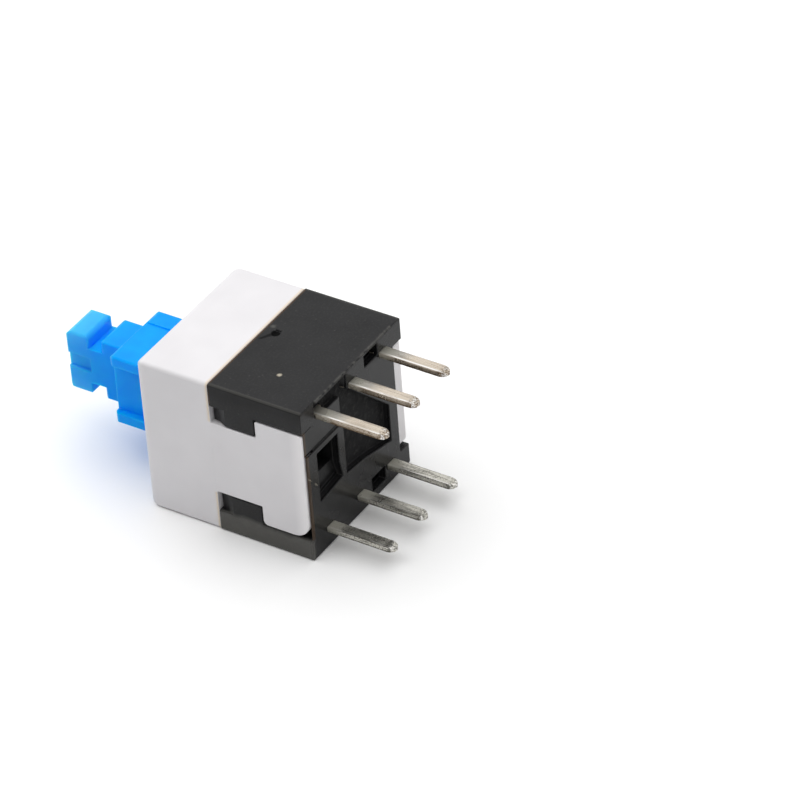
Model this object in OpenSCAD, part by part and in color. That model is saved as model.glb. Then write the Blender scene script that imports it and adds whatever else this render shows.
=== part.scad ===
// Latching push button switch: six-pin, double-pole, self-locking.
// It lies on its flat side. +Z is up, the pins point along +Y, the button along -Y, X is the width.
// The origin is where the plunger's axis crosses the rear (board seat) plane. Sizes are in millimetres.

/* [Body] */

// width and height of the square body
body_w = 8.0; // [8.0:0.05:8.2]
// depth of the body from the cover's front face to the rear plane
body_depth = 8.75; // [8.75:0.05:9.1]
// depth of the black base, rear plane to seam
base_depth = 4.9; // [4.7:0.05:4.9]
// rounding of the cover's front edges
front_round = 0.5; // [0.2:0.05:0.6]
// rounding of the cover's four long edges
long_round = 0.2; // [0.1:0.05:0.4]
// rounding of the base's four long edges
base_round = 0.1; // [0.05:0.05:0.2]
// width of the plunger window
window_w = 4.18; // [4.0:0.02:4.3]
// height of the plunger window
window_h = 3.87; // [3.8:0.02:4.1]

/* [Side tabs] */

// thickness of the cover's side walls and tabs
tab_t = 0.65; // [0.5:0.05:0.65]
// half height of the tab's narrow stem
stem_z = 1.9; // [1.5:0.05:1.9]
// depth where the stem widens into the head
head_y = 2.55; // [2.3:0.05:2.6]
// top of the tab's head above the axis
head_top_z = 2.77; // [2.4:0.01:2.8]
// bottom of the tab's head below the axis
head_low_z = 2.88; // [2.4:0.02:2.9]

/* [Pins] */

// spacing of the pins across the width
pin_pitch = 2.5; // [2.45:0.01:2.54]
// height of each pin row above and below the axis
row_z = 3.1; // [3.05:0.01:3.12]
// length of a pin beyond the rear plane
pin_len = 3.4; // [2.5:0.1:5.0]
// width of a pin
pin_w = 0.58; // [0.4:0.02:0.64]
// thickness of the terminal strip
pin_t = 0.28; // [0.2:0.02:0.3]

/* [Plunger] */

// reach of the plunger's tip beyond the rear plane
tip_y = 14.8; // [14.5:0.05:15.2]
// half width of the flanges
flange_x = 1.95; // [1.8:0.05:2.0]
// half height of the flanges
flange_z = 1.85; // [1.7:0.05:1.88]
// half width of the central bar and head
bar_x = 0.97; // [0.8:0.01:1.0]
// half height of the shoulder and head
head_h = 1.6; // [1.4:0.05:1.7]
// size of the square pocket in the head's end
pocket_w = 1.1; // [0.8:0.05:1.2]
// full travel of the plunger
travel = 2.5; // [2.2:0.05:2.5]

/* [Latch] */

// diameter of the follower wire
wire_d = 0.36; // [0.3:0.01:0.38]
// length of the follower's arm
arm_len = 2.6; // [2.5:0.05:2.65]
// angle the follower turns through over the full travel
swing = 19; // [15:0.5:19]

/* [Hidden] */

half = body_w / 2;
cap_y = -body_depth;
seam_y = -base_depth;
wall_x = half - tab_t;
snap_gap = 0.05;
core_x = wall_x - snap_gap;
gap_top_z = head_top_z + 0.08;
gap_low_z = -head_low_z - 0.08;
ceiling_z = row_z - pin_t / 2;
cap_ceiling_z = 3.2;
front_wall = 0.85;
rear_wall = 1.4;
cavity_x = 2.9;
rim_y = seam_y - 0.6;
tab_end_y = -0.12;
curve_n = 48;
small_n = 32;
eps = 0.01;
far = 20;

// plunger stations along Y
web_y = -11.75;
deep_web_y = -10.2;
shoulder_y = -12.95;
neck_y = -13.55;
plunger_rear_y = -4.0;
stop_y = cap_y + front_wall + 0.05;
flange_t = 0.55;
bore_r = 1.22;
bore_end_y = -7.2;
groove_depth = 0.48;
clip_seat_z = 1.62;
clip_t = 0.16;
clip_front_y = -6.9;
clip_bend_y = -5.75;
clip_end_y = -4.1;
clip_top_z = ceiling_z - 0.07;
peg_x = 0.95;
peg_r = 0.3;

// latch stations: the wire turns about X at its rear end
pivot_y = -1.95;
tip_rest_y = pivot_y - arm_len;
lane_w = wire_d + 0.16;
lane_steps = 8;
bend_r = 0.26;
arm_x = -flange_x - 0.18 - wire_d / 2;

// ---------- shared shapes ----------

// rectangle about the origin with round corners
module round_rect(w, h, r) {
    square([w - 2 * r, h], center = true);
    square([w, h - 2 * r], center = true);
    for (sx = [-1, 1], sy = [-1, 1])
        translate([sx * (w / 2 - r), sy * (h / 2 - r)])
            circle(r = r, $fn = small_n);
}

// mirrors its child so that it lies along the signs of dir
module along_signs(dir) {
    mirror([dir[0] < 0 ? 1 : 0, 0, 0])
        mirror([0, dir[1] < 0 ? 1 : 0, 0])
            children();
}

// what a radius takes off a square corner at p, whose inside lies along dir
module corner_cut(p, dir, r) {
    if (r > 0)
        translate(p)
            along_signs(dir)
                difference() {
                    translate([-eps, -eps]) square(r + eps);
                    translate([r, r]) circle(r = r, $fn = small_n);
                }
}

// outline from y0 (front) to y1 (rear), each end with its own corner radius
module end_round_rect(w, y0, y1, r0, r1) {
    difference() {
        translate([-w / 2, y0]) square([w, y1 - y0]);
        for (s = [-1, 1]) {
            corner_cut([s * w / 2, y0], [-s, 1], r0);
            corner_cut([s * w / 2, y1], [-s, -1], r1);
        }
    }
}

// box from its lower and upper corners
module span(lo, hi) {
    translate(lo) cube([hi[0] - lo[0], hi[1] - lo[1], hi[2] - lo[2]]);
}

// an outline in X and Z, extruded from y0 to y1
module along_y(y0, y1) {
    translate([0, y1, 0]) rotate([90, 0, 0]) linear_extrude(y1 - y0) children();
}

// a plan outline in X and Y, extruded from z0 to z1
module along_z(z0, z1) {
    translate([0, 0, z0]) linear_extrude(z1 - z0) children();
}

// an outline in Y and Z, extruded from x0 to x1
module along_x(x0, x1) {
    translate([x0, 0, 0]) rotate([90, 0, 90]) linear_extrude(x1 - x0) children();
}

// the child and its mirror image left to right
module both_x() {
    children();
    mirror([1, 0, 0]) children();
}

// the child and its mirror image top to bottom
module both_z() {
    children();
    mirror([0, 0, 1]) children();
}

// a block with rounded long edges, and its own corner radii at each end
module end_round_block(w, h, y0, y1, edge_r, r0, r1) {
    intersection() {
        along_y(y0, y1) round_rect(w, h, edge_r);
        along_z(-h / 2, h / 2) end_round_rect(w, y0, y1, r0, r1);
        along_x(-w / 2, w / 2) mirror([1, -1, 0]) end_round_rect(h, y0, y1, r0, r1);
    }
}

// unit normal of the stretch from a to b
function normal(a, b) = [a[1] - b[1], b[0] - a[0]] / norm(b - a);

// the path's points moved sideways by d, with mitred corners
function beside(path, d) = [
    for (i = [0 : len(path) - 1])
        let (n0 = normal(path[max(i - 1, 0)], path[max(i, 1)]),
             n1 = normal(path[min(i, len(path) - 2)], path[min(i + 1, len(path) - 1)]))
        path[i] + d * (n0 + n1) / (1 + n0 * n1)
];

function reversed(list) = [for (i = [len(list) - 1 : -1 : 0]) list[i]];

// sheet of thickness t bent along a path
module bent_sheet(path, t) {
    polygon(concat(beside(path, t / 2), reversed(beside(path, -t / 2))));
}

// ---------- cover ----------

module cover() {
    color([0.93, 0.93, 0.94]) {
        difference() {
            end_round_block(body_w, body_w, cap_y, seam_y, long_round, front_round, 0);
            span([-wall_x, cap_y + front_wall, -cap_ceiling_z], [wall_x, seam_y + eps, cap_ceiling_z]);
            along_y(cap_y - eps, cap_y + front_wall + eps) round_rect(window_w, window_h, 0.12);
        }
        side_tab(wall_x, 0.85);
        side_tab(-half, 0.3);
    }
}

// T-shaped snap tab: stem from the cover, then a wider head behind the base's lugs
module side_tab(x0, low_r) {
    along_x(x0, x0 + tab_t)
        difference() {
            union() {
                translate([seam_y - eps, -stem_z]) square([base_depth - head_y + 0.3, 2 * stem_z]);
                translate([-head_y, -head_low_z]) square([head_y + tab_end_y, head_top_z + head_low_z]);
            }
            corner_cut([-head_y, head_top_z], [1, -1], 0.1);
            corner_cut([-head_y, -head_low_z], [1, 1], 0.25);
            corner_cut([tab_end_y, head_top_z], [-1, -1], 0.12);
            corner_cut([tab_end_y, -head_low_z], [-1, 1], low_r);
        }
}

// ---------- base ----------

// the rear wall's mottled recess: under the roof, then down the middle
recess_outline = [[2.9, 3.85], [0.45, 3.85], [0.45, 3.1], [-2.65, 0.1], [-2.65, -1.9],
                  [-0.5, -1.4], [0.95, -1.25], [0.95, 2.95], [2.6, 2.95], [2.6, 3.2], [2.9, 3.2]];
recess_depth = 0.4;
step_depth = 0.1;
step_z = 1.6;
lug_rear_y = -head_y - 0.05;
lug_front_y = seam_y + 0.05;
lip_inset = 0.1;

module base() {
    color([0.11, 0.11, 0.12]) {
        difference() {
            union() {
                base_shell();
                base_rim();
                both_x() snap_lugs();
                rear_lip();
            }
            base_cavity();
            rear_openings();
            gate_dimple();
            all_terminals(eps);
            latch_leaf_shape(eps);
            pivot_hole();
        }
        spring_spigot();
    }
}

// roof and floor at full width, with a narrower middle that the tabs lie along
module base_shell() {
    difference() {
        along_y(seam_y, 0) round_rect(body_w, body_w, base_round);
        both_x() span([core_x, seam_y - eps, gap_low_z], [half + eps, eps, gap_top_z]);
    }
}

// collar that stands inside the cover
module base_rim() {
    span([-core_x, rim_y, -cap_ceiling_z + 0.03], [core_x, seam_y + eps, cap_ceiling_z - 0.03]);
}

// wedges that a tab's head snaps over: low beside the seam, flush with the side behind
module snap_lugs() {
    plan = [[core_x - eps, lug_front_y], [half - 0.26, lug_front_y], [half - 0.2, lug_front_y + 0.35],
            [half, lug_front_y + 0.75], [half, lug_rear_y], [core_x - eps, lug_rear_y]];
    along_z(stem_z + 0.05, gap_top_z + eps) polygon(plan);
    along_z(gap_low_z - eps, -stem_z - 0.05) polygon(plan);
}

// thin flange behind one tab, flush with the rear plane
module rear_lip() {
    span([core_x - eps, tab_end_y + 0.03, gap_low_z - eps], [half - lip_inset, 0, gap_top_z + eps]);
}

// shallow dimple left by the mould's gate, on the roof beside the seam
module gate_dimple() {
    translate([-0.36, seam_y + 0.4, half - 0.12]) cylinder(h = 1, r = 0.2, $fn = small_n);
    span([-0.9, seam_y + 0.27, half - 0.07], [-0.36, seam_y + 0.53, half + eps]);
}

// room for the plunger, open to the front
module base_cavity() {
    span([-cavity_x, rim_y - eps, -ceiling_z], [cavity_x, -rear_wall, ceiling_z]);
}

// openings and hollows seen on the rear plane
module rear_openings() {
    along_y(-recess_depth, eps) polygon(recess_outline);
    span([0.9, -step_depth, step_z], [half + eps, eps, 3.5]);
    span([2.9, -step_depth, 3.5 - eps], [half + eps, eps, half + eps]);
    span([1.45, -rear_wall - eps, -0.3], [3.1, eps, 1.3]);
    along_y(-0.5, eps) polygon([[1.45, -0.3 + eps], [1.25, -1.15], [3.1, -1.35], [3.1, -0.3 + eps]]);
    span([-2.1, -1.2, 3.22], [-1.0, eps, 3.84]);
    span([-2.0, -1.2, -3.6], [-0.9, eps, -2.85]);
}

module pivot_hole() {
    translate([-half, pivot_y, 0]) rotate([0, 90, 0])
        cylinder(h = half - cavity_x + 0.1, r = wire_d / 2 + 0.03, $fn = small_n);
}

// peg that centres the return spring
module spring_spigot() {
    translate([0, -rear_wall, 0]) rotate([90, 0, 0]) {
        translate([0, 0, -eps]) cylinder(h = 0.5, r = 0.62, $fn = small_n);
        translate([0, 0, 0.49]) cylinder(h = 0.22, r1 = 0.62, r2 = 0.45, $fn = small_n);
    }
}

// ---------- plunger ----------

module plunger() {
    color([0.12, 0.55, 0.95]) {
        difference() {
            union() {
                shank();
                button();
                stop_ridges();
                guide_rail();
            }
            side_channels();
            waist_grooves();
            end_pocket();
            spring_bore();
            both_z() clip_pocket();
            cam_groove();
        }
        both_z() both_x() clip_peg();
    }
}

// square shank with a slightly sunk middle, from the button's root to its inner end
module shank() {
    difference() {
        end_round_block(2 * flange_x, 2 * flange_z, web_y, plunger_rear_y, 0.12, 0.3, 0.1);
        both_z() span([-bar_x, web_y - eps, flange_z - 0.06], [bar_x, stop_y + eps, far]);
    }
}

// shoulder, neck and head that a key cap clips on
module button() {
    end_round_block(2 * bar_x, 2 * head_h, shoulder_y, web_y + 0.4, 0.1, 0.3, 0);
    span([-bar_x, neck_y - 0.3, -0.95], [bar_x, shoulder_y + 0.3, 0.95]);
    intersection() {
        along_y(-tip_y, neck_y) round_rect(2 * bar_x, 2 * head_h, 0.16);
        along_z(-head_h, head_h) end_round_rect(2 * bar_x, -tip_y, neck_y, 0.16, 0.1);
        along_x(-bar_x, bar_x) mirror([1, -1, 0]) end_round_rect(2 * head_h, -tip_y, neck_y, 0.4, 0.25);
    }
}

// ridges that meet the inside of the cover's front wall
module stop_ridges() {
    both_z() span([-1.7, stop_y, flange_z - 0.2], [1.7, stop_y + 0.7, 2.65]);
}

// rail on the side away from the latch
module guide_rail() {
    span([flange_x - 0.1, stop_y, -0.45], [cavity_x - 0.15, plunger_rear_y - 0.2, 0.45]);
}

// channels along both sides: shallow at the front, deeper towards the window
module side_channels() {
    channel_z = flange_z - flange_t;
    both_x() {
        span([1.6, web_y - eps, -channel_z], [far, deep_web_y + eps, channel_z]);
        span([1.2, deep_web_y, -channel_z], [far, stop_y - 0.4, channel_z]);
    }
}

// shallow groove along each side of the head
module waist_grooves() {
    both_x() span([bar_x - 0.2, -tip_y - eps, -0.4], [far, neck_y + eps, 0.4]);
}

module end_pocket() {
    translate([-pocket_w / 2, -tip_y - eps, -pocket_w / 2]) cube([pocket_w, 0.9, pocket_w]);
}

module spring_bore() {
    translate([0, plunger_rear_y + eps, 0]) rotate([90, 0, 0])
        cylinder(h = plunger_rear_y - bore_end_y + eps, r = bore_r, $fn = curve_n);
}

// seat for a contact clip, open to the rear
module clip_pocket() {
    span([-far, clip_front_y - 0.05, clip_seat_z], [far, plunger_rear_y + eps, far]);
}

module clip_peg() {
    translate([peg_x, (clip_front_y + clip_bend_y) / 2, clip_seat_z - 0.1])
        cylinder(h = clip_t + 0.2, r = peg_r, $fn = small_n);
}

// ---------- heart-shaped cam ----------

// where the follower's tip stands in the plunger's side when the wire has turned by a degrees
function lane_point(a) = [pivot_y - arm_len * cos(a) - travel * a / swing, arm_len * sin(a)];

// straight stretch of a lane with round ends
module lane(a, b) {
    d = b - a;
    translate(a) rotate(atan2(d[1], d[0])) translate([0, -lane_w / 2]) square([norm(d), lane_w]);
    for (p = [a, b])
        translate(p) circle(d = lane_w, $fn = small_n);
}

module lanes(points) {
    for (i = [0 : len(points) - 2])
        lane(points[i], points[i + 1]);
}

// push lane, far chamber with the latching notch, and return lane around the heart
module cam_groove() {
    push = [for (i = [0 : lane_steps]) lane_point(swing * i / lane_steps)];
    top = lane_point(swing);
    turn = [top[0], -0.4];
    notch = [top[0] + 0.62, -0.08];
    along_x(-far, -flange_x + groove_depth) {
        lanes(push);
        lanes([top, turn]);
        lanes([[top[0], 0.15], notch]);
        lanes([turn, [top[0] + 0.6, -0.8], [top[0] + 1.7, -0.68], push[0]]);
    }
}

// ---------- latch parts ----------

// steel wire: tip in the cam, arm along the plunger, pivot in the base's side wall
module latch_wire() {
    color([0.75, 0.76, 0.78]) {
        rod_x(-flange_x + groove_depth - 0.06, arm_x + bend_r, tip_rest_y);
        translate([arm_x + bend_r, tip_rest_y + bend_r, 0]) wire_bend(180);
        translate([arm_x, tip_rest_y + bend_r, 0]) rotate([-90, 0, 0])
            cylinder(h = arm_len - 2 * bend_r, d = wire_d, $fn = small_n);
        translate([arm_x - bend_r, pivot_y - bend_r, 0]) wire_bend(0);
        rod_x(arm_x - bend_r, -core_x + 0.05, pivot_y);
    }
}

// straight wire along X from x1 down to x0 at depth y
module rod_x(x1, x0, y) {
    translate([x0, y, 0]) rotate([0, 90, 0]) cylinder(h = x1 - x0, d = wire_d, $fn = small_n);
}

module wire_bend(start) {
    rotate([0, 0, start])
        rotate_extrude(angle = 90, $fn = curve_n)
            translate([bend_r, 0]) circle(d = wire_d, $fn = small_n);
}

module latch_leaf() {
    color([0.78, 0.79, 0.8]) latch_leaf_shape(0);
}

// flat spring that keeps the wire's tip in the cam, slotted around the wire's pivot
module latch_leaf_shape(grow) {
    leaf_x = -cavity_x + 0.07;
    touch_x = arm_x - wire_d / 2 - 0.08;
    difference() {
        along_z(-0.55 - grow, 0.85 + grow)
            bent_sheet([[leaf_x, -rear_wall + 0.4 + grow], [leaf_x, -2.5], [touch_x, -3.6],
                        [touch_x, -4.1], [leaf_x + 0.05, -4.65]], 0.07 + 2 * grow);
        span([-far, -2.4, -0.26 + grow], [far, -1.5, 0.26 - grow]);
    }
}

// ---------- return spring ----------

spring_r = 0.92;
spring_wire_r = 0.14;
spring_turns = 8;
spring_seat_y = -rear_wall - 0.01;
ring_n = 8;
rings_per_turn = 16;
spring_rings = spring_turns * rings_per_turn;
spring_y0 = bore_end_y + spring_wire_r + 0.01;
spring_y1 = spring_seat_y - spring_wire_r;

// share of the spring's length used up to turn k: the first and last turns lie flat
function rise(k) = k < 1 ? 0.05 * k
    : k > spring_turns - 1 ? 1 - 0.05 * (spring_turns - k)
    : 0.05 + 0.9 * (k - 1) / (spring_turns - 2);

// point on the wire's surface: ring i of the coil, corner j of its section
function coil_point(i, j) =
    let (k = i / rings_per_turn,
         a = 360 * k,
         b = 360 * j / ring_n,
         r = spring_r + spring_wire_r * cos(b))
    [r * cos(a), spring_y0 + (spring_y1 - spring_y0) * rise(k) + spring_wire_r * sin(b), r * sin(a)];

module return_spring() {
    points = [for (i = [0 : spring_rings], j = [0 : ring_n - 1]) coil_point(i, j)];
    sides = [for (i = [0 : spring_rings - 1], j = [0 : ring_n - 1])
        let (n = (j + 1) % ring_n)
        [i * ring_n + j, i * ring_n + n, (i + 1) * ring_n + n, (i + 1) * ring_n + j]];
    first = [for (j = [ring_n - 1 : -1 : 0]) j];
    last = [for (j = [0 : ring_n - 1]) spring_rings * ring_n + j];
    color([0.72, 0.73, 0.75]) polyhedron(points, concat(sides, [first, last]), convexity = 10);
}

// ---------- contacts ----------

// bridge clip: a plate pegged to the plunger, with three sprung fingers, one per terminal
module contact_clip() {
    middle_z = clip_seat_z + 0.01 + clip_t / 2;
    top_z = clip_top_z - clip_t / 2;
    path = [[clip_bend_y - 0.3, middle_z], [clip_bend_y, middle_z], [-4.65, top_z - 0.07],
            [-4.45, top_z], [-4.3, top_z - 0.02], [clip_end_y, top_z - 0.22]];
    color([0.83, 0.68, 0.4]) {
        difference() {
            along_z(middle_z - clip_t / 2, middle_z + clip_t / 2)
                translate([0, (clip_front_y + clip_bend_y) / 2 - 0.1])
                    round_rect(2 * pin_pitch + 0.5, clip_bend_y - clip_front_y - 0.2, 0.15);
            both_x()
                translate([peg_x, (clip_front_y + clip_bend_y) / 2, 0])
                    cylinder(h = far, r = peg_r + 0.03, $fn = small_n);
        }
        for (lane_x = [-pin_pitch, 0, pin_pitch])
            along_x(lane_x - 0.24, lane_x + 0.24) bent_sheet(path, clip_t);
    }
}

module contact_clip_top() {
    contact_clip();
}

module contact_clip_bottom() {
    mirror([0, 0, 1]) contact_clip();
}

// ---------- terminals ----------

// the strip's run inside the base: the closed one dives into the plastic and comes up at the front
function strip_path(kind) =
    kind == "closed" ? [[-4.8, row_z], [-4.0, row_z], [-3.6, row_z + 0.42], [-1.1, row_z + 0.42],
                        [-0.7, row_z], [pin_len, row_z]]
    : [[kind == "common" ? -4.8 : -3.2, row_z], [pin_len, row_z]];

// half width of the rounded tip at a share s of its length
function tip_half(s) = pin_w / 2 * sqrt(1 - s * s);

// plan of a terminal: straight strip, retaining barb and bullet-shaped tip
module terminal_plan(grow) {
    tip_l = 0.42;
    steps = 8;
    side = [for (i = [0 : steps])
        let (s = i / steps)
        [tip_half(s) + grow, pin_len - tip_l + tip_l * s]];
    polygon(concat([[-pin_w / 2 - grow, -base_depth], [pin_w / 2 + grow, -base_depth]], side,
                   [for (p = reversed(side)) [-p[0], p[1]]]));
    translate([-0.42 - grow, -0.55 - grow]) square([0.84 + 2 * grow, 0.3 + 2 * grow]);
}

module terminal(lane_x, kind, grow = 0) {
    color([0.8, 0.79, 0.76])
        intersection() {
            along_x(lane_x - 1, lane_x + 1) bent_sheet(strip_path(kind), pin_t + 2 * grow);
            along_z(0, half) translate([lane_x, 0]) terminal_plan(grow);
        }
}

module terminal_row(grow) {
    terminal(pin_pitch, "closed", grow);
    terminal(0, "common", grow);
    terminal(-pin_pitch, "open", grow);
}

module all_terminals(grow) {
    both_z() terminal_row(grow);
}

module terminal_top_closed() {
    terminal(pin_pitch, "closed");
}

module terminal_top_common() {
    terminal(0, "common");
}

module terminal_top_open() {
    terminal(-pin_pitch, "open");
}

module terminal_bottom_closed() {
    mirror([0, 0, 1]) terminal(pin_pitch, "closed");
}

module terminal_bottom_common() {
    mirror([0, 0, 1]) terminal(0, "common");
}

module terminal_bottom_open() {
    mirror([0, 0, 1]) terminal(-pin_pitch, "open");
}

cover();
base();
plunger();
return_spring();
latch_wire();
latch_leaf();
contact_clip_top();
contact_clip_bottom();
terminal_top_closed();
terminal_top_common();
terminal_top_open();
terminal_bottom_closed();
terminal_bottom_common();
terminal_bottom_open();
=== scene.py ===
import math

import bmesh
import bpy
from mathutils import Matrix, Vector
from mathutils.bvhtree import BVHTree


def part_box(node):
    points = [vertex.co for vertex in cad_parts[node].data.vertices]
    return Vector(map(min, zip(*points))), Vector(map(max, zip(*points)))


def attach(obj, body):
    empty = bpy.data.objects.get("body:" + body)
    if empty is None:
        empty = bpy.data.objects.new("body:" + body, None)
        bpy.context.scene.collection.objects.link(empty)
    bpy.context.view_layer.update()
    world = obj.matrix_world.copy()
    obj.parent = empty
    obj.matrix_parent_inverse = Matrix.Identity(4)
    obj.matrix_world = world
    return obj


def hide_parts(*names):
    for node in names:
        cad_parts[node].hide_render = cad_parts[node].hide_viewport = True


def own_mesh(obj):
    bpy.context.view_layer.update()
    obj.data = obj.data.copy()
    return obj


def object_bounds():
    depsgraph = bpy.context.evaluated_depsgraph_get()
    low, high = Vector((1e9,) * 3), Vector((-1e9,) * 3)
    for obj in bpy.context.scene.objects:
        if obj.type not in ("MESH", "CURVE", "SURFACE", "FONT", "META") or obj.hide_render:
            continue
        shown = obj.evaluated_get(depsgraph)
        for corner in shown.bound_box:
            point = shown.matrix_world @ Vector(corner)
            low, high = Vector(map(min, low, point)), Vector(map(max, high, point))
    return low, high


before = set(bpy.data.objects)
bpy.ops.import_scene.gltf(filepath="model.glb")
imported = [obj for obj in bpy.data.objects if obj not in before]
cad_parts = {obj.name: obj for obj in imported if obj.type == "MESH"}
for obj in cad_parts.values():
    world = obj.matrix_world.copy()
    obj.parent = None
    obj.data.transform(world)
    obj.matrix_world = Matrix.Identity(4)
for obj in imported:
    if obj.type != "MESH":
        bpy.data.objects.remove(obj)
cadLow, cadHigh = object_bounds()
scene = bpy.context.scene
mm = 0.001
print("frame loaded")


# ---- shader maths: a socket that takes part in ordinary expressions

class Wire:
    def __init__(self, tree, socket):
        self.tree = tree
        self.socket = socket

    def math(self, operation, other=0.0):
        return NodeMaker(self.tree).node("ShaderNodeMath", {"operation": operation}, {0: self, 1: other})

    def __add__(self, other):
        return self.math("ADD", other)

    def __sub__(self, other):
        return self.math("SUBTRACT", other)

    def __rsub__(self, other):
        return NodeMaker(self.tree).node("ShaderNodeMath", {"operation": "SUBTRACT"}, {0: other, 1: self})

    def __mul__(self, other):
        return self.math("MULTIPLY", other)

    def __truediv__(self, other):
        return self.math("DIVIDE", other)

    def above(self, edge):
        return self.math("GREATER_THAN", edge)

    def low(self, other):
        return self.math("MINIMUM", other)

    def high(self, other):
        return self.math("MAXIMUM", other)

    def size(self):
        return self.math("ABSOLUTE")


class NodeMaker:
    # one method adds any node: its settings first, then its sockets' values or links
    def __init__(self, tree):
        self.tree = tree

    def node(self, kind, settings=None, values=None, out=0):
        made = self.tree.nodes.new(kind)
        for name, value in (settings or {}).items():
            setattr(made, name, value)
        for name, value in (values or {}).items():
            if isinstance(value, Wire):
                self.tree.links.new(value.socket, made.inputs[name])
            else:
                made.inputs[name].default_value = value
        return Wire(self.tree, made.outputs[out])

    def place(self, scale=(1, 1, 1)):
        objectPlace = self.node("ShaderNodeTexCoord", out="Object")
        return self.node("ShaderNodeMapping", {"vector_type": "POINT"},
                         {"Vector": objectPlace, "Scale": scale})

    def axes(self, vector):
        outs = self.node("ShaderNodeSeparateXYZ", None, {0: vector}).socket.node.outputs
        return [Wire(self.tree, outs[i]) for i in range(3)]

    def join(self, x, y, z):
        return self.node("ShaderNodeCombineXYZ", None, {0: x, 1: y, 2: z})

    def noise(self, vector, scale, detail=3.0, rough=0.5):
        return self.node("ShaderNodeTexNoise", None,
                         {"Vector": vector, "Scale": scale, "Detail": detail, "Roughness": rough})

    def specks(self, vector, scale, radius):
        # soft dots, 1 at the middle of a cell and 0 past the radius
        cell = self.node("ShaderNodeTexVoronoi", None, {"Vector": vector, "Scale": scale}, "Distance")
        return self.span(cell, radius, 0.0)

    def span(self, value, low, high, to0=0.0, to1=1.0):
        return self.node("ShaderNodeMapRange", {"clamp": True},
                         {"Value": value, "From Min": low, "From Max": high, "To Min": to0, "To Max": to1})

    def past(self, value, limits):
        # rises from 0 to 1 between two places in millimetres
        return self.span(value, limits[0] * mm, limits[1] * mm)

    def until(self, value, limits, full=1.0):
        # falls from full to 0 between two places in millimetres
        return self.span(value, limits[0] * mm, limits[1] * mm, full, 0)

    def mark(self, spot, centre, radii, wobble, full=1.0):
        # a soft round mark about a point in millimetres
        away = self.node("ShaderNodeVectorMath", {"operation": "DISTANCE"},
                         {0: spot, 1: tuple(part * mm for part in centre)}, "Value")
        return self.until(away + wobble, radii, full)

    def offLine(self, along, across, line, wobble):
        # how far a point lies beside a line drawn from one place to another in millimetres
        (start, height), (end, endHeight) = line
        slope = (endHeight - height) / (end - start)
        return (across - height * mm - (along - start * mm) * slope + wobble).size()

    def mix(self, share, first, second):
        made = self.tree.nodes.new("ShaderNodeMix")
        made.data_type = "RGBA"
        for socket, value in ((made.inputs[0], share), (made.inputs[6], first), (made.inputs[7], second)):
            if isinstance(value, Wire):
                self.tree.links.new(value.socket, socket)
            else:
                socket.default_value = (*value, 1) if isinstance(value, tuple) else value
        return Wire(self.tree, made.outputs[2])

    def clouded(self, cloud, first, second):
        return self.mix(self.span(cloud, 0.35, 0.7), first, second)

    def sheen(self, cloud, smooth, rough):
        return self.span(cloud, 0.3, 0.7, smooth, rough)

    def bump(self, height, distance, strength):
        return self.node("ShaderNodeBump", None,
                         {"Height": height, "Distance": distance * mm, "Strength": strength}, "Normal")


def newMaterial(name, paint):
    material = bpy.data.materials.new(name)
    material.use_nodes = True
    tree = material.node_tree
    surface = tree.nodes["Principled BSDF"]
    for socket, value in paint(NodeMaker(tree)).items():
        if isinstance(value, Wire):
            tree.links.new(value.socket, surface.inputs[socket])
        else:
            colour = surface.inputs[socket].type == "RGBA"
            surface.inputs[socket].default_value = (*value, 1) if colour else value
    return material


# ---- camera, floor and light

# lengths in millimetres and angles in degrees; near and far in metres
view = {"lens": 225, "sensor": 36, "near": 0.01, "far": 5, "aim": (-3.277, 0.178, 0.0), "distance": 220.86,
        "azimuth": 124.389, "elevation": 37.036, "roll": -4.298}


def addCamera():
    camera = bpy.data.objects.new("camera", bpy.data.cameras.new("camera"))
    scene.collection.objects.link(camera)
    camera.data.lens = view["lens"]
    camera.data.sensor_width = view["sensor"]
    camera.data.clip_start = view["near"]
    camera.data.clip_end = view["far"]
    azimuth, elevation, roll = (math.radians(view[key]) for key in ("azimuth", "elevation", "roll"))
    forward = -Vector((math.sin(azimuth) * math.cos(elevation), -math.cos(azimuth) * math.cos(elevation),
                       math.sin(elevation)))
    level = forward.cross(Vector((0, 0, 1))).normalized()
    right = level * math.cos(roll) + level.cross(forward) * math.sin(roll)
    turn = Matrix((right, right.cross(forward), -forward)).transposed()
    place = Vector(view["aim"]) * mm - forward * view["distance"] * mm
    camera.matrix_world = Matrix.Translation(place) @ turn.to_4x4()
    scene.camera = camera


# lengths in metres
studio = {"floor": 0.85, "floorSeen": 1.0, "floorRough": 0.9, "floorReach": 1.5, "floorGap": 0.00002,
          "world": 0.15, "lampSize": 1.1, "lampPower": 5.5, "lampPlace": (-0.045, -0.09, 0.5),
          "lampAim": (0, -0.004, 0)}


def paintFloor(shader):
    seen = shader.node("ShaderNodeLightPath", out="Is Camera Ray")
    return {"Base Color": shader.mix(seen, (studio["floor"],) * 3, (studio["floorSeen"],) * 3),
            "Roughness": studio["floorRough"], "Specular IOR Level": 0.0}


def addFloor():
    reach = studio["floorReach"]
    low = cadLow.z - studio["floorGap"]
    mesh = bpy.data.meshes.new("floor")
    mesh.from_pydata([(-reach, -reach, low), (reach, -reach, low), (reach, reach, low), (-reach, reach, low)],
                     [], [(0, 1, 2, 3)])
    mesh.materials.append(newMaterial("floorPaint", paintFloor))
    floor = bpy.data.objects.new("floor", mesh)
    scene.collection.objects.link(floor)


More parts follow.
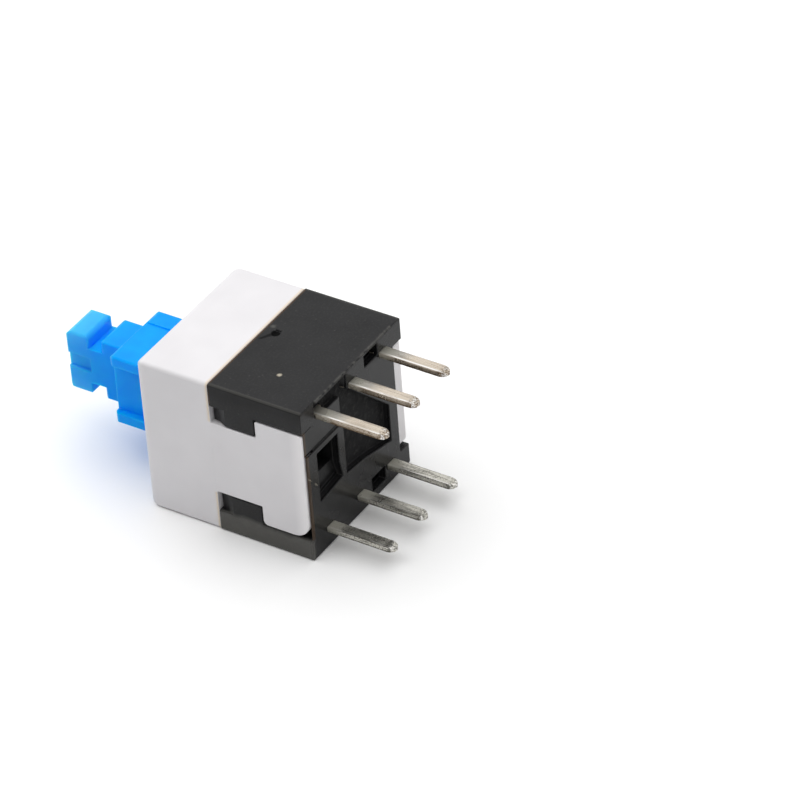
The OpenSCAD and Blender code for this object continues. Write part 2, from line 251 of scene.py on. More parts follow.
def addWorld():
    # white where the camera, a mirror or clear plastic sees it, and dim as a light
    world = bpy.data.worlds.new("studio")
    world.use_nodes = True
    scene.world = world
    tree = world.node_tree
    path = tree.nodes.new("ShaderNodeLightPath").outputs
    seen = Wire(tree, path["Is Camera Ray"]).high(Wire(tree, path["Is Glossy Ray"]))
    seen = seen.high(Wire(tree, path["Is Transmission Ray"]))
    strength = NodeMaker(tree).span(seen, 0, 1, studio["world"], 1.0)
    backdrop = tree.nodes["Background"]
    backdrop.inputs["Color"].default_value = (1, 1, 1, 1)
    tree.links.new(strength.socket, backdrop.inputs["Strength"])


def addLamp():
    lamp = bpy.data.lights.new("ceilingLamp", "AREA")
    lamp.shape = "DISK"
    lamp.size = studio["lampSize"]
    lamp.energy = studio["lampPower"]
    holder = bpy.data.objects.new("ceilingLamp", lamp)
    holder.location = studio["lampPlace"]
    aim = Vector(studio["lampAim"]) - Vector(studio["lampPlace"])
    holder.rotation_euler = aim.to_track_quat("-Z", "Y").to_euler()
    holder.visible_glossy = False
    scene.collection.objects.link(holder)


addCamera()
addFloor()
addWorld()
addLamp()
scene.view_settings.view_transform = "Standard"
print("camera, floor and light in place")


# ---- moulded and stamped skins: the solid's own faces with rounded edges

# angles in degrees, merge and speck in millimetres; sliver, search, stray and spread are shares of the width
rounding = {"crease": 15, "round": 35, "flat": 0.5, "merge": 0.001, "speck": 0.0002, "attempts": 8,
            "sliver": 0.02, "search": 0.75, "facing": 0.2, "stray": 0.45, "spread": 1.3, "steps": 3}


def putPiece(name, mesh, body, slotName, *nodes):
    # puts a finished mesh on its body, in the place of the solids it stands for
    piece = bpy.data.objects.new(name, mesh)
    scene.collection.objects.link(piece)
    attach(piece, body)
    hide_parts(*nodes)
    return piece


def bevelled(shape, chosen, width, steps):
    # a copy of the solid with the chosen edges rounded
    trial = shape.copy()
    trial.edges.ensure_lookup_table()
    bmesh.ops.bevel(trial, geom=[trial.edges[index] for index in sorted(chosen)], offset=width,
                    segments=steps, profile=0.5, affect="EDGES", clamp_overlap=False)
    return trial


def findFaults(trial, guide, width):
    # places where a rounding has overrun its neighbours: turned-over slivers and strayed corners
    probe = trial.copy()
    bmesh.ops.triangulate(probe, faces=probe.faces)
    spots = []
    for face in probe.faces:
        if face.calc_area() > (width * rounding["sliver"]) ** 2:
            near = guide.find_nearest_range(face.calc_center_median(), width * rounding["search"])
            if not any(face.normal.dot(hit[1]) > rounding["facing"] for hit in near):
                spots.extend(vert.co.copy() for vert in face.verts)
    for vert in probe.verts:
        if guide.find_nearest(vert.co)[3] > width * rounding["stray"]:
            spots.append(vert.co.copy())
    probe.free()
    return spots


def nearEdge(edge, spot, distance):
    start, along = edge.verts[0].co, edge.verts[1].co - edge.verts[0].co
    share = min(1, max(0, (spot - start).dot(along) / along.length_squared))
    return (start + along * share - spot).length < distance


def narrow(face, width):
    return face.calc_area() < width * 2 * max(edge.calc_length() for edge in face.edges)


def roundEdges(shape, width, steps):
    # creases are rounded; those between two fillets, or whose rounding would overrun, stay crisp
    guide = BVHTree.FromBMesh(shape)
    shape.edges.ensure_lookup_table()
    creases = [edge for edge in shape.edges if len(edge.link_faces) == 2 and not edge.tag
               and edge.calc_face_angle() > math.radians(rounding["crease"])]
    chosen = {edge.index for edge in creases if edge.calc_face_angle() > math.radians(rounding["round"])
              and not all(narrow(face, width) for face in edge.link_faces)}
    for attempt in range(rounding["attempts"]):
        for edge in creases:
            edge.smooth = edge.index in chosen
        trial = bevelled(shape, chosen, width, steps)
        spots = findFaults(trial, guide, width)
        poor = {index for index in chosen for spot in spots
                if nearEdge(shape.edges[index], spot, width * rounding["spread"])}
        if not poor:
            break
        chosen -= poor
    return trial


def skin(node, body, slotName, paint, edge, steps=rounding["steps"], before=None, after=None):
    # before and after change the shape on either side of the rounding
    shape = bmesh.new()
    shape.from_mesh(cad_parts[node].data)
    bmesh.ops.remove_doubles(shape, verts=shape.verts, dist=rounding["merge"] * mm)
    bmesh.ops.dissolve_limit(shape, angle_limit=math.radians(rounding["flat"]), verts=shape.verts,
                             edges=shape.edges)
    bmesh.ops.recalc_face_normals(shape, faces=shape.faces)
    for crease in shape.edges:
        crease.tag = False
    if before:
        before(shape)
    for face in shape.faces:
        face.smooth = True
    finished = roundEdges(shape, edge * mm, steps)
    bmesh.ops.dissolve_degenerate(finished, dist=rounding["speck"] * mm, edges=finished.edges)
    if after:
        after(finished)
    mesh = bpy.data.meshes.new(node + "Skin")
    finished.to_mesh(mesh)
    finished.free()
    shape.free()
    mesh.materials.append(paint)
    piece = putPiece(node + "Piece", mesh, body, slotName, node)
    even = piece.modifiers.new("evenShading", "WEIGHTED_NORMAL")
    even.mode = "FACE_AREA"
    even.weight = 100
    even.keep_sharp = True


# ---- geometry trees: named inputs, one build function, then instances made real and the material set

def growMesh(name, inputs, build, source=None):
    tree = bpy.data.node_groups.new(name, "GeometryNodeTree")
    tree.interface.new_socket("Geometry", in_out="INPUT", socket_type="NodeSocketGeometry")
    tree.interface.new_socket("Geometry", in_out="OUTPUT", socket_type="NodeSocketGeometry")
    kinds = {int: "NodeSocketInt", float: "NodeSocketFloat", bpy.types.Material: "NodeSocketMaterial"}
    keys = {}
    for label, value in inputs.items():
        socket = tree.interface.new_socket(label, in_out="INPUT", socket_type=kinds[type(value)])
        keys[label] = socket.identifier
    entry = tree.nodes.new("NodeGroupInput").outputs
    wires = {socket.name: Wire(tree, socket) for socket in entry if socket.name}
    maker = NodeMaker(tree)
    body = build(maker, wires)
    body = maker.node("GeometryNodeSetShadeSmooth", None, {"Geometry": body})
    body = maker.node("GeometryNodeRealizeInstances", None, {"Geometry": body})
    body = maker.node("GeometryNodeSetMaterial", None, {"Geometry": body, "Material": wires["Material"]})
    tree.links.new(body.socket, tree.nodes.new("NodeGroupOutput").inputs[0])
    holder = bpy.data.objects.new(name, source or bpy.data.meshes.new(name + "Start"))
    scene.collection.objects.link(holder)
    grower = holder.modifiers.new("grow", "NODES")
    grower.node_group = tree
    for label, value in inputs.items():
        grower[keys[label]] = value
    mesh = bpy.data.meshes.new_from_object(holder.evaluated_get(bpy.context.evaluated_depsgraph_get()))
    bpy.data.objects.remove(holder)
    mesh.name = name
    print(name, "grown:", len(mesh.polygons), "faces")
    return mesh


# ---- white cover

# lengths and places in millimetres
# the warm tint is painted shade along the seam, and the palest tint is a painted highlight on the tabs
whitePlastic = {"colour": (0.81, 0.795, 0.812), "shade": (0.765, 0.75, 0.767), "warmShadowTint": (0.77, 0.66, 0.52),
                "tabHighlight": (0.93, 0.91, 0.92), "speck": (0.42, 0.38, 0.34), "rough": (0.38, 0.5),
                "cloud": 420, "grain": 5200, "dirt": 1500, "edge": 0.05, "seam": -4.9, "stem": 1.9,
                "rootLine": (0.02, 0.05), "shadowLineStart": (0.01, 0.03), "shadowLineEnd": (0.04, 0.16),
                "tabHighlightPlace": (-0.8, -0.25), "side": (3.85, 3.95), "endFace": -0.2}
# the front's corners: where the rounding starts, its radius, how square it stays and the cuts it needs
corner = {"inner": 3.5, "seat": -8.25, "radius": 0.5, "power": 5.56, "fade": 0.3, "front": -0.999,
          "merge": 0.0001, "across": (0, 0.2, 0.4, 0.55, 0.7, 0.8, 0.9, 0.96),
          "deep": (0.1, 0.2, 0.3, 0.45)}


def paintWhite(shader):
    spot = shader.place()
    x, y, z = shader.axes(spot)
    seam, stem = whitePlastic["seam"], whitePlastic["stem"]
    cloud = shader.noise(spot, whitePlastic["cloud"], 2)
    fine = shader.noise(spot, whitePlastic["grain"], 4, 0.6)
    colour = shader.clouded(cloud, whitePlastic["shade"], whitePlastic["colour"])
    # a faint line at the tab's root, and a warm painted shadow line along the rim beside the black base
    root = shader.until((y - seam * mm).size(), whitePlastic["rootLine"])
    root = root * shader.until(z.size(), (stem - 0.05, stem))
    back = seam * mm - y
    warmShadowLine = shader.until(back, whitePlastic["shadowLineEnd"]) * shader.past(back, whitePlastic["shadowLineStart"])
    warmShadowLine = warmShadowLine * shader.past(z.size(), (stem, stem + 0.1))
    colour = shader.mix(warmShadowLine, colour, whitePlastic["warmShadowTint"])
    # the tabs are thin; a painted highlight lightens the near tab's rear edge and the far tab's end face
    light = shader.past(y, whitePlastic["tabHighlightPlace"]) * shader.past(x, whitePlastic["side"])
    light = light.high(y.above(whitePlastic["endFace"] * mm) * (1 - x.above(0.0)))
    colour = shader.mix(light, colour, whitePlastic["tabHighlight"])
    patches = shader.span(shader.noise(spot, 600, 2), 0.55, 0.6)
    dirt = shader.specks(spot, whitePlastic["dirt"], 0.05) * patches
    colour = shader.mix(dirt * 0.5, colour, whitePlastic["speck"])
    return {"Base Color": colour, "Roughness": shader.sheen(cloud, *whitePlastic["rough"]),
            "Specular IOR Level": 0.35, "Normal": shader.bump(fine * 0.25 - root, 0.008, 0.8)}


def cutCorners(shape, axis, offset, reach):
    # one flat cut through the outer faces at the corners, as far back as reach
    across = Vector((0, 0, 0))
    across[axis] = 1
    faces = [face for face in shape.faces if face.normal.y > corner["front"]
             and min(vert.co.y for vert in face.verts) < (corner["seat"] - 0.01) * mm
             and face.calc_center_median().y < reach * mm
             and max(abs(vert.co.x) for vert in face.verts) > corner["inner"] * mm
             and max(abs(vert.co.z) for vert in face.verts) > corner["inner"] * mm]
    parts = dict.fromkeys(part for face in faces for part in (*face.verts, *face.edges))
    bmesh.ops.bisect_plane(shape, geom=list(parts) + faces, dist=corner["merge"] * mm,
                           plane_co=across * (offset * mm), plane_no=across)


def softCorners(shape):
    # the front's mitred corners run into one another; their tagged edges stay smooth
    inner, seat, radius, power = corner["inner"], corner["seat"], corner["radius"], corner["power"]
    cutCorners(shape, 1, seat, 0)
    for share in corner["across"]:
        for side in (-1, 1):
            cutCorners(shape, 0, side * (inner + radius * share), seat)
            cutCorners(shape, 2, side * (inner + radius * share), seat)
    for share in corner["deep"]:
        cutCorners(shape, 1, seat - radius * share, seat)
    for vert in shape.verts:
        x = (abs(vert.co.x) / mm - inner) / radius
        y = (seat - vert.co.y / mm) / radius
        z = (abs(vert.co.z) / mm - inner) / radius
        if x > 0 and 0 < y < 1 and z > 0:
            share = (1 - y * y) ** 0.5 / (x ** power + z ** power) ** (1 / power)
            share = 1 + (share - 1) * min(1, y / corner["fade"])
            vert.co.x = math.copysign((inner + radius * x * share) * mm, vert.co.x)
            vert.co.z = math.copysign((inner + radius * z * share) * mm, vert.co.z)
            for edge in vert.link_edges:
                edge.tag = True


def makeCover():
    paint = newMaterial("whitePlasticPaint", paintWhite)
    skin("cover", "housing", "white_plastic", paint, whitePlastic["edge"], before=softCorners)


# ---- black base

# places and lengths in millimetres
# painted light among these colours: the pale dust colour also paints highlights and light from the floor, the
# brown colour paints warm shadow lines, and the flank's and the gate's darkest colours paint shade
blackPlastic = {"colour": (0.0085, 0.0085, 0.0092), "dustAndPaintedLight": (0.1, 0.098, 0.09), "pale": (0.42, 0.38, 0.3),
                "warmShadowLine": (0.07, 0.04, 0.02), "pit": (0.0015, 0.0015, 0.0018),
                "flankShadeColour": (0.001, 0.001, 0.0012), "gateShadeAndSmear": (0.0005, 0.0005, 0.0005),
                "rough": (0.38, 0.52), "cloud": 700, "grain": 6500, "wobble": 0.12, "edge": 0.045,
                "side": (3.8, 3.9),
                "roof": (3.9, 3.98), "roofRear": (-0.14, -0.02),
                "recessStart": (-0.46, -0.42), "recessEnd": (-0.38, -0.34), "recessSide": (2.95, 3.0),
                "recessTop": (3.86, 3.9), "rearPlane": (-0.2, -0.12), "rearTop": (3.85, 3.9),
                "fleck": (1.98, -2.43, 4.0), "fleckRadii": (0.056, 0.14),
                "scratch": ((3.9, 0.48), (3.26, -0.3)), "scratchWidth": (0.02, 0.06), "scratchPlane": -0.05,
                "paintedFloorLight": (-3.1, -2.8), "paintedFloorLightWave": 0.6, "seamShadowWidth": (0.06, 0.12), "seamShadowTop": (2.9, 3.0),
                "flankShade": (3.1, 3.7), "browHighlightSide": (3.8, 3.88), "browHighlight": (3.94, 3.97),
                "gateZone": ((-0.95, -4.75), (-0.1, -4.25)), "gate": (-0.507, -4.229, 3.95),
                "gateRadii": (0.16, 0.26), "gateShift": (-0.147, 0.271), "grooveShift": 0.12,
                "tail": ((0.21, -4.68), (-0.45, -4.28)), "tailWidth": (0.1, 0.18), "tailTaper": 0.08,
                "tailFade": 0.1, "chipHighlight": (-0.888, -4.602, 4.0), "chipHighlightRadii": (0.04, 0.16),
                "flange": (3.72, 3.76), "flangeRear": (-0.18, -0.14), "flangeTop": (2.9, 2.95),
                "web": ((3.2, -0.117, 1.6), (3.9, -0.097, 2.85))}


def dustAndPaintedLightMasks(shader, spot, cloud, wobble, patches):
    # first fine specks and the roof's rubbed rear edge, then painted light from the floor on the lowest strip
    # of the side
    x, y, z = shader.axes(spot)
    worn = shader.past(y + wobble, blackPlastic["roofRear"]) * shader.past(z, blackPlastic["roof"])
    worn = worn * shader.span(shader.noise(spot, 2600, 3), 0.44, 0.58)
    specks = shader.specks(spot, 3200, 0.2) * patches
    grain = shader.span(shader.noise(spot, 9000, 3, 0.7), 0.5, 0.7)
    wave = (cloud - 0.5) * (blackPlastic["paintedFloorLightWave"] * mm)
    paintedFloorLight = shader.until(z + wave, blackPlastic["paintedFloorLight"]) * shader.past(x, blackPlastic["side"])
    return specks * 0.3 + grain * 0.1 + worn * 0.6, paintedFloorLight * (patches * 0.1 + 0.85)


def recessMask(shader, x, y, z):
    inside = shader.past(y, blackPlastic["recessStart"]) * shader.until(y, blackPlastic["recessEnd"])
    inside = inside * shader.until(x.size(), blackPlastic["recessSide"])
    return inside * shader.until(z, blackPlastic["recessTop"])


def scratchMask(shader, spot, wobble):
    # one short scratch beside the window in the rear face
    x, y, z = shader.axes(spot)
    end = blackPlastic["scratch"][1][0]
    off = shader.offLine(x, z, blackPlastic["scratch"], wobble * 2.0)
    scratch = shader.until(off, blackPlastic["scratchWidth"]) * x.above(end * mm)
    scratch = scratch * y.above(blackPlastic["scratchPlane"] * mm)
    return scratch * shader.span(shader.noise(spot, 3000, 2), 0.4, 0.55)


def gateShadeAndSmearMask(shader, spot, wobble):
    # painted shadow in the gate's dimple, and a dark smear along its tail to the seam
    x, y, z = shader.axes(spot)
    gate = shader.mark(spot, blackPlastic["gate"], blackPlastic["gateRadii"], wobble)
    start, end = blackPlastic["tail"][0][0], blackPlastic["tail"][1][0]
    off = shader.offLine(x, y, blackPlastic["tail"], wobble)
    off = off + shader.span(x, end * mm, start * mm, 0, blackPlastic["tailTaper"] * mm)
    tail = shader.until(off, blackPlastic["tailWidth"])
    tail = tail * shader.past(x, (end, end + blackPlastic["tailFade"]))
    tail = tail * shader.until(x, (start - blackPlastic["tailFade"], start))
    return gate.high(tail * 0.7 * shader.past(z, blackPlastic["side"]))


def paintBlack(shader):
    spot = shader.place()
    x, y, z = shader.axes(spot)
    cloud = shader.noise(spot, blackPlastic["cloud"], 3)
    fine = shader.noise(spot, blackPlastic["grain"], 4, 0.65)
    wobble = (fine - 0.5) * (blackPlastic["wobble"] * mm)
    patches = shader.span(shader.noise(spot, 1500, 2), 0.48, 0.6)
    # the recess in the rear face is rough, with pale dust in it; the plane around it is polished
    inside = recessMask(shader, x, y, z)
    polished = shader.past(y, blackPlastic["rearPlane"]) * shader.until(z, blackPlastic["rearTop"])
    mottle = shader.noise(spot, 3000, 5, 0.75)
    crumbs = shader.specks(spot, 2100, 0.13) * shader.span(shader.noise(spot, 1100, 2), 0.5, 0.58)
    worn, paintedFloorLight = dustAndPaintedLightMasks(shader, spot, cloud, wobble, patches)
    # pale dust and wear, with painted light from the floor on the lowest strip of the side
    light = ((worn + crumbs * inside * 0.9).low(1.0) + paintedFloorLight).low(1.0)
    colour = shader.mix(light, blackPlastic["colour"], blackPlastic["dustAndPaintedLight"])
    colour = shader.mix(inside * shader.span(mottle, 0.4, 0.6, 1, 0), colour, blackPlastic["pit"])
    colour = shader.mix(inside * shader.span(mottle, 0.56, 0.7) * 0.35, colour, blackPlastic["dustAndPaintedLight"])
    # a brown line painted along the seam with the cover stands for the warm shadow line in the gap
    seam = shader.until((y - whitePlastic["seam"] * mm).size(), blackPlastic["seamShadowWidth"])
    colour = shader.mix(seam * shader.past(z, blackPlastic["seamShadowTop"]), colour, blackPlastic["warmShadowLine"])
    # painted shade darkens the sides under the roof's edge, and a painted highlight lightens the roof's
    # rounded edge
    flankShade = shader.past(x.size(), blackPlastic["side"]) * shader.past(z, blackPlastic["flankShade"])
    colour = shader.mix(flankShade * 0.75, colour, blackPlastic["flankShadeColour"])
    browHighlight = shader.past(x.size() + wobble, blackPlastic["browHighlightSide"]) * shader.past(z, blackPlastic["browHighlight"])
    colour = shader.mix(browHighlight * 0.3, colour, blackPlastic["dustAndPaintedLight"])
    # a painted highlight on the lit side of a chip beside the gate
    chipHighlight = shader.mark(spot, blackPlastic["chipHighlight"], blackPlastic["chipHighlightRadii"], wobble, 0.6)
    colour = shader.mix(chipHighlight, colour, blackPlastic["dustAndPaintedLight"])
    # painted shadow in the gate's dimple and a dark smear along its tail
    gateShadeAndSmear = gateShadeAndSmearMask(shader, spot, wobble)
    colour = shader.mix(gateShadeAndSmear, colour, blackPlastic["gateShadeAndSmear"])
    # a brown line painted where the rear flange meets the tab stands for the warm shadow line in the gap
    # there
    flangeShadowLine = shader.past(x, blackPlastic["flange"]) * shader.past(y, blackPlastic["flangeRear"])
    flangeShadowLine = flangeShadowLine * shader.until(z.size(), blackPlastic["flangeTop"])
    colour = shader.mix(flangeShadowLine * 0.7, colour, blackPlastic["warmShadowLine"])
    # one pale fleck on the roof and the scratch
    fleck = shader.mark(spot, blackPlastic["fleck"], blackPlastic["fleckRadii"], wobble)
    marks = (fleck + scratchMask(shader, spot, wobble) * 0.5).low(1.0)
    colour = shader.mix(marks, colour, blackPlastic["pale"])
    rough = shader.sheen(cloud, *blackPlastic["rough"])
    rough = rough + inside * 0.4 - polished * 0.2 + gateShadeAndSmear * 0.5
    return {"Base Color": colour, "Roughness": rough, "Specular IOR Level": 0.25,
            "Normal": shader.bump(fine * 0.3 + mottle * inside * 6.0, 0.012, 0.8)}


def shiftGate(shape):
    # the gate's dimple sits a little further back and its groove is shorter
    (left, front), (right, rear) = blackPlastic["gateZone"]
    aside, back = blackPlastic["gateShift"]
    for vert in shape.verts:
        inZone = left * mm < vert.co.x < right * mm and front * mm < vert.co.y < rear * mm
        if inZone and vert.co.z > blackPlastic["side"][0] * mm:
            grooveEnd = vert.co.x < (left + 0.1) * mm
            vert.co.x += (blackPlastic["grooveShift"] if grooveEnd else aside) * mm
            vert.co.y += back * mm


def coverTabEnd(shape):
    # thin web that closes the rear plane over the tab's end above the window's frame
    low, high = blackPlastic["web"]
    for vert in bmesh.ops.create_cube(shape, size=1.0)["verts"]:
        for axis in range(3):
            vert.co[axis] = (high if vert.co[axis] > 0 else low)[axis] * mm


def makeBase():
    paint = newMaterial("blackPlasticPaint", paintBlack)
    skin("base", "housing", "black_plastic", paint, blackPlastic["edge"], before=shiftGate, after=coverTabEnd)


# ---- blue plunger

# lengths and places in millimetres
bluePlastic = {"colour": (0.003, 0.37, 0.99), "deep": (0.002, 0.32, 0.97), "pale": (0.085, 0.55, 0.99),
               "rough": (0.36, 0.46), "cloud": 600, "grain": 4500, "edge": 0.045, "glow": 2.0,
               "head": (-14.8, -13.2), "rimGlow": (0.8, 1.6), "rimGlowEnd": (-13.8, -13.4)}


def paintBlue(shader):
    spot = shader.place()
    x, y, z = shader.axes(spot)
    cloud = shader.noise(spot, bluePlastic["cloud"], 2)
    fine = shader.noise(spot, bluePlastic["grain"], 4, 0.6)
    colour = shader.clouded(cloud, bluePlastic["deep"], bluePlastic["colour"])
    # painted light: the thin head is painted paler where light shines through it, most of all at its rims
    head = shader.until(y, bluePlastic["head"]) * 0.5
    rimGlow = shader.past(z.size(), bluePlastic["rimGlow"]) * 0.4 * shader.until(y, bluePlastic["rimGlowEnd"])
    colour = shader.mix((head + rimGlow).low(1.0), colour, bluePlastic["pale"])
    return {"Base Color": colour, "Roughness": shader.sheen(cloud, *bluePlastic["rough"]),
            "Specular IOR Level": 0.1, "Subsurface Weight": 1.0, "Subsurface Radius": (0.1, 0.25, 0.8),
            "Subsurface Scale": bluePlastic["glow"] * mm, "Normal": shader.bump(fine, 0.0025, 0.7)}


def makePlunger():
    paint = newMaterial("bluePlasticPaint", paintBlue)
    skin("plunger", "push_rod", "blue_plastic", paint, bluePlastic["edge"])


# ---- terminals: six strips grown along their paths, with bullet tips, barbs and rough sheared sides

pinLow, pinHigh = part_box("terminal_top_common")
pinRow = (pinLow.z + pinHigh.z) / 2

# lengths and places in millimetres; bluntness, thinning and barb are shares
terminal = {"width": 0.58, "thickness": 0.28, "corner": 0.04, "pitch": 2.5, "tip": 0.42, "bluntness": 0.05,
            "thinning": 0.4, "barbFront": -0.55, "barbRear": -0.25, "barb": 0.3, "burr": 0.035,
            "grain": 9000.0, "step": 0.06, "front": -4.8, "openFront": -3.2, "rise": 0.42,
            "dive": (-4.0, -3.6, -1.1, -0.7)}
# the root's colour and the grey colour are painted shade and reflection of the dark base, and the tip's
# palest colour is a painted glint
# plate and stain give the upper row's colour first, then the lower row's; places in millimetres
tin = {"plate": ((0.72, 0.635, 0.53), (0.71, 0.69, 0.62)),
       "stain": ((0.15, 0.1, 0.055), (0.14, 0.135, 0.115)),
       "tipGlint": (0.97, 0.95, 0.9), "glint": (0.97, 0.955, 0.93), "rootReflection": (0.4, 0.4, 0.38),
       "root": (0.36, 0.35, 0.29), "rough": (0.22, 0.38), "tipPlace": (2.9, 3.2), "rootShadePlace": (0.4, 0.8),
       "rootReflectionPlace": (0.9, 1.5), "arris": (0.01, 0.03), "under": (-0.07, -0.02), "sheared": 0.45}


def terminalPaths():
    # one open line for each strip: the closed one dives into the plastic and comes up again at the front
    points, edges = [], []
    for side in (1, -1):
        for lane, kind in ((1, "closed"), (0, "common"), (-1, "open")):
            path = [(terminal["front"] if kind != "open" else terminal["openFront"], 0)]
            if kind == "closed":
                path += zip(terminal["dive"], (0, terminal["rise"], terminal["rise"], 0))
            x = lane * terminal["pitch"] * mm
            line = [Vector((x, y * mm, side * (pinRow + up * mm))) for y, up in path]
            line.append(Vector((x, pinHigh.y, side * pinRow)))
            edges += [(len(points) + i, len(points) + i + 1) for i in range(len(line) - 1)]
            points += line
    mesh = bpy.data.meshes.new("terminalPaths")
    mesh.from_pydata(points, edges, [])
    return mesh


def buildStrips(maker, wires):
    curve = maker.node("GeometryNodeMeshToCurve", None, {"Mesh": wires["Geometry"]})
    curve = maker.node("GeometryNodeResampleCurve", {"mode": "LENGTH"},
                       {"Curve": curve, "Length": wires["Step"]})
    curve = maker.node("GeometryNodeSetCurveNormal", {"mode": "Z_UP"}, {"Curve": curve})
    section = maker.node("GeometryNodeCurvePrimitiveQuadrilateral", None,
                         {"Width": wires["Width"], "Height": wires["Thickness"]})
    section = maker.node("GeometryNodeFilletCurve", {"mode": "POLY"},
                         {"Curve": section, "Count": 2, "Radius": wires["Corner"]})
    section = maker.node("GeometryNodeSubdivideCurve", None, {"Curve": section, "Cuts": 2})
    strip = maker.node("GeometryNodeCurveToMesh", None,
                       {"Curve": curve, "Profile Curve": section, "Fill Caps": True})
    spot = maker.node("GeometryNodeInputPosition")
    x, y, z = maker.axes(spot)
    lane = (x / wires["Pitch"]).math("ROUND") * wires["Pitch"]
    aside = x - lane
    # the tip narrows and thins towards its end
    tip = maker.span(y, wires["End"] - wires["Tip"], wires["End"])
    bullet = (1 - tip * tip * (1 - wires["Bluntness"])).math("SQRT")
    barb = y.above(wires["Barb Front"]) * (1 - y.above(wires["Barb Rear"])) * wires["Barb"] + 1
    sheared = aside.size().above(wires["Width"] * 0.46)
    shifted = maker.node("ShaderNodeVectorMath", {"operation": "ADD"}, {0: spot, 1: (1.7, 0.3, 2.9)})
    grain = maker.noise(shifted, wires["Grain"], 2, 0.7)
    rough = aside.math("SIGN") * sheared * (grain - 0.5) * wires["Burr"]
    crease = maker.noise(spot, wires["Grain"] * 0.6, 2, 0.6)
    up = z - z.math("SIGN") * wires["Row"]
    thinned = z - up * tip * tip * wires["Tip Thinning"] + (crease - 0.5) * tip * wires["Burr"] * 2.0
    moved = maker.join(lane + aside * bullet * barb + rough * bullet, y, thinned)
    return maker.node("GeometryNodeSetPosition", None, {"Geometry": strip, "Position": moved})


def paintTin(shader):
    spot = shader.place()
    x, y, z = shader.axes(spot)
    pitch, width = terminal["pitch"] * mm, terminal["width"] * mm
    local = x - (x / pitch).math("ROUND") * pitch
    aside = local.size()
    drawn = shader.noise(shader.place((1, 0.05, 1)), 14000, 4, 0.65)
    crumpled = shader.noise(spot, 14000, 3, 0.6)
    coined = shader.noise(spot, 4200, 2, 0.5)
    cloud = shader.noise(spot, 1400, 3)
    uneven = (cloud - 0.5) * mm
    # where on a strip a point lies
    lower = 1 - z.above(0.0)
    sheared = aside.above(width * tin["sheared"])
    tip = shader.past(y + uneven * 0.4, tin["tipPlace"])
    # painted shade and reflection of the dark base make the root darker and duller
    root = shader.until(y + uneven * 0.5, tin["rootShadePlace"])
    arris = shader.until((aside - width * tin["sheared"]).size(), tin["arris"]) * lower
    over = z - (1 - lower * 2) * pinRow
    under = shader.until(over, tin["under"]) * sheared
    # a bright line along one edge of the flat, duller on the lower row
    glint = shader.span(aside, width * 0.27, width * 0.33) * (1 - sheared) * local.above(0.0)
    glint = glint * shader.span(drawn, 0.5, 0.6, 1, 0.4) * (1 - lower * 0.5)
    # painted reflection of the dark base: grey on the upper row's flats near the root
    rootReflection = shader.until(y + uneven * 0.8, tin["rootReflectionPlace"]) * (1 - sheared)
    rootReflection = rootReflection * (1 - glint) * (1 - lower)
    # drawing streaks, pits on the sheared sides and stains at the tip
    streaks = shader.span(drawn, 0.46, 0.62) * (lower * 0.35 + 0.35)
    spots = shader.span(crumpled, 0.52, 0.66) * (sheared * 0.5 + lower * 0.35 + 0.12)
    stain = tip * shader.span(crumpled, 0.42, 0.55) * (1 - lower * 0.6) * 0.8
    dark = (streaks + spots + sheared * (1 - lower) * 0.3) * (1 - root * 0.7) * (1 - glint) + stain
    dark = (dark + arris * 0.5 * (1 - root) + under * shader.span(crumpled, 0.36, 0.5)).low(1.0)
    pale = shader.mix(lower, *tin["plate"])
    # painted glints on the coined tips
    pale = shader.mix(tip * shader.span(coined, 0.5, 0.56), pale, tin["tipGlint"])
    pale = shader.mix(glint, pale, tin["glint"])
    pale = shader.mix(rootReflection * 0.75, pale, tin["rootReflection"])
    colour = shader.mix(dark, pale, shader.mix(lower, *tin["stain"]))
    height = drawn * 0.8 + crumpled * (sheared * 1.6 + 0.6) + coined * tip * 5.0
    # the root's painted shade: a darker colour and less metal
    return {"Base Color": shader.mix(root * 0.6, colour, tin["root"]), "Metallic": 0.92 - root * 0.5,
            "Roughness": shader.sheen(cloud, *tin["rough"]), "Normal": shader.bump(height, 0.016, 0.9)}


def makeTerminals():
    sizes = {"Width": "width", "Thickness": "thickness", "Corner": "corner", "Pitch": "pitch", "Tip": "tip",
             "Barb Front": "barbFront", "Barb Rear": "barbRear", "Burr": "burr", "Step": "step"}
    inputs = {label: terminal[key] * mm for label, key in sizes.items()}
    inputs.update({"End": pinHigh.y, "Row": pinRow, "Bluntness": terminal["bluntness"],
                   "Barb": terminal["barb"], "Tip Thinning": terminal["thinning"], "Grain": terminal["grain"],
                   "Material": newMaterial("tinnedStripPaint", paintTin)})
    mesh = growMesh("terminalStrips", inputs, buildStrips, terminalPaths())
    solids = ["terminal_" + row + "_" + kind for row in ("top", "bottom")
              for kind in ("closed", "common", "open")]
    putPiece("terminals", mesh, "housing", "tinned_strip", *solids)


# ---- return spring: closed end turns, open turns between them

# lengths and places in millimetres; endRise is a share of the length
coil = {"radius": 0.92, "wire": 0.14, "turns": 8, "front": -7.2, "rear": -1.41, "gap": 0.01, "endRise": 0.05,
        "perTurn": 30, "around": 12, "keep": 0.568}
steel = {"dark": (0.5, 0.5, 0.52), "light": (0.68, 0.68, 0.7), "rough": (0.2, 0.34)}


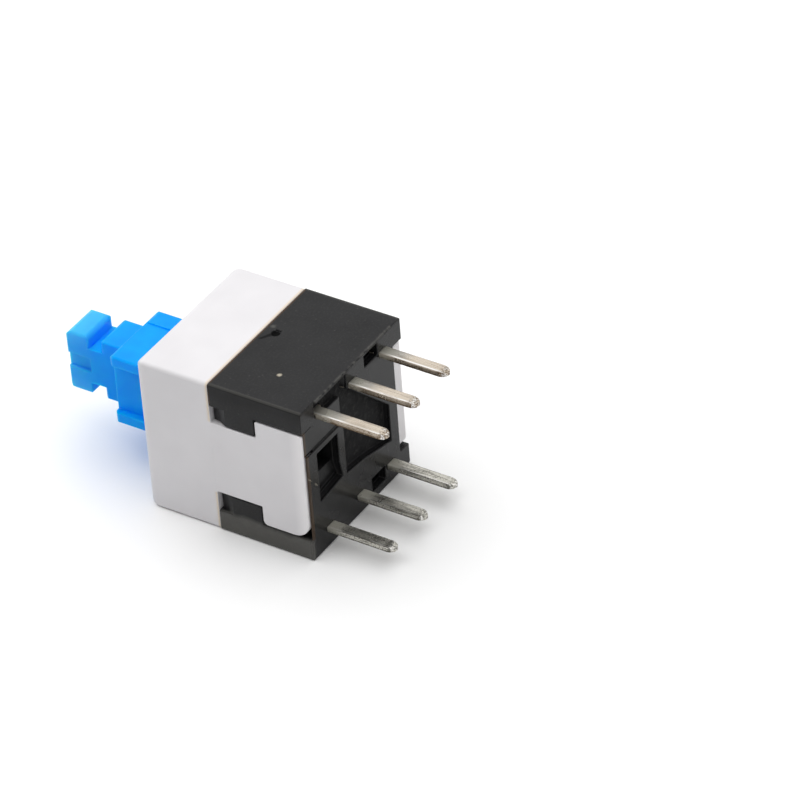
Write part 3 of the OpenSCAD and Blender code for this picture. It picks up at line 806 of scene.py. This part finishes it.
def buildCoil(maker, wires):
    line = maker.node("GeometryNodeCurvePrimitiveLine", None, {"End": (0, 1, 0)})
    line = maker.node("GeometryNodeResampleCurve", {"mode": "COUNT"},
                      {"Curve": line, "Count": wires["Points"]})
    turn = maker.node("GeometryNodeSplineParameter", out="Factor") * wires["Turns"]
    # the first and the last turn hardly rise
    ends = (turn.low(1.0) + (turn - (wires["Turns"] - 1)).high(0.0)) * wires["End Rise"]
    middle = ((turn - 1) / (wires["Turns"] - 2)).high(0.0).low(1.0)
    rise = ends + middle * (1 - wires["End Rise"] * 2)
    angle = turn * (2 * math.pi)
    y = wires["Front"] + (wires["Rear"] - wires["Front"]) * rise
    helix = maker.join(angle.math("COSINE") * wires["Radius"], y, angle.math("SINE") * wires["Radius"])
    line = maker.node("GeometryNodeSetPosition", None, {"Geometry": line, "Position": helix})
    section = maker.node("GeometryNodeCurvePrimitiveCircle", None,
                         {"Resolution": coil["around"], "Radius": wires["Wire Radius"]})
    return maker.node("GeometryNodeCurveToMesh", None,
                      {"Curve": line, "Profile Curve": section, "Fill Caps": True})


def paintSteel(shader):
    cloud = shader.noise(shader.place(), 900, 3)
    drawn = shader.noise(shader.place((1, 0.1, 1)), 12000, 3)
    return {"Base Color": shader.clouded(cloud, steel["dark"], steel["light"]), "Metallic": 1.0,
            "Roughness": shader.sheen(cloud, *steel["rough"]), "Normal": shader.bump(drawn, 0.003, 0.6)}


def makeSpring(springSteel):
    front = coil["front"] + coil["wire"] + coil["gap"]
    inputs = {"Radius": coil["radius"] * mm, "Wire Radius": coil["wire"] * mm, "Turns": float(coil["turns"]),
              "Front": front * mm, "Rear": (coil["rear"] - coil["wire"]) * mm, "End Rise": coil["endRise"],
              "Points": coil["turns"] * coil["perTurn"] + 1, "Material": springSteel}
    spring = putPiece("springCoil", growMesh("springTurns", inputs, buildCoil), "housing", "spring_steel",
                      "return_spring")
    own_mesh(spring)


# ---- latch parts and contact clips

bronze = {"dark": (0.55, 0.36, 0.16), "light": (0.8, 0.6, 0.33), "rough": (0.22, 0.4)}
# rounding of the stamped edges in millimetres, in fewer steps than the moulded ones
stamped = {"leaf": 0.012, "clip": 0.02, "steps": 2}


def paintBronze(shader):
    cloud = shader.noise(shader.place(), 800, 4, 0.6)
    rolled = shader.noise(shader.place((1, 0.08, 1)), 9000, 3)
    return {"Base Color": shader.clouded(cloud, bronze["dark"], bronze["light"]), "Metallic": 1.0,
            "Roughness": shader.sheen(cloud, *bronze["rough"]), "Normal": shader.bump(rolled, 0.004, 0.6)}


def makeInnerMetal(springSteel):
    # the latch's wire keeps its own mesh and is only painted
    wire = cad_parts["latch_wire"]
    wire.material_slots[0].link = "OBJECT"
    wire.material_slots[0].material = springSteel
    skin("latch_leaf", "housing", "spring_steel", springSteel, stamped["leaf"], stamped["steps"])
    contactBronze = newMaterial("contactBronzePaint", paintBronze)
    for row in ("top", "bottom"):
        skin("contact_clip_" + row, "push_rod", "contact_bronze", contactBronze, stamped["clip"],
             stamped["steps"])


makeCover()
makeBase()
makePlunger()
print("moulded parts made")
makeTerminals()
steelPaint = newMaterial("springSteelPaint", paintSteel)
makeSpring(steelPaint)
makeInnerMetal(steelPaint)
print("metal parts made")
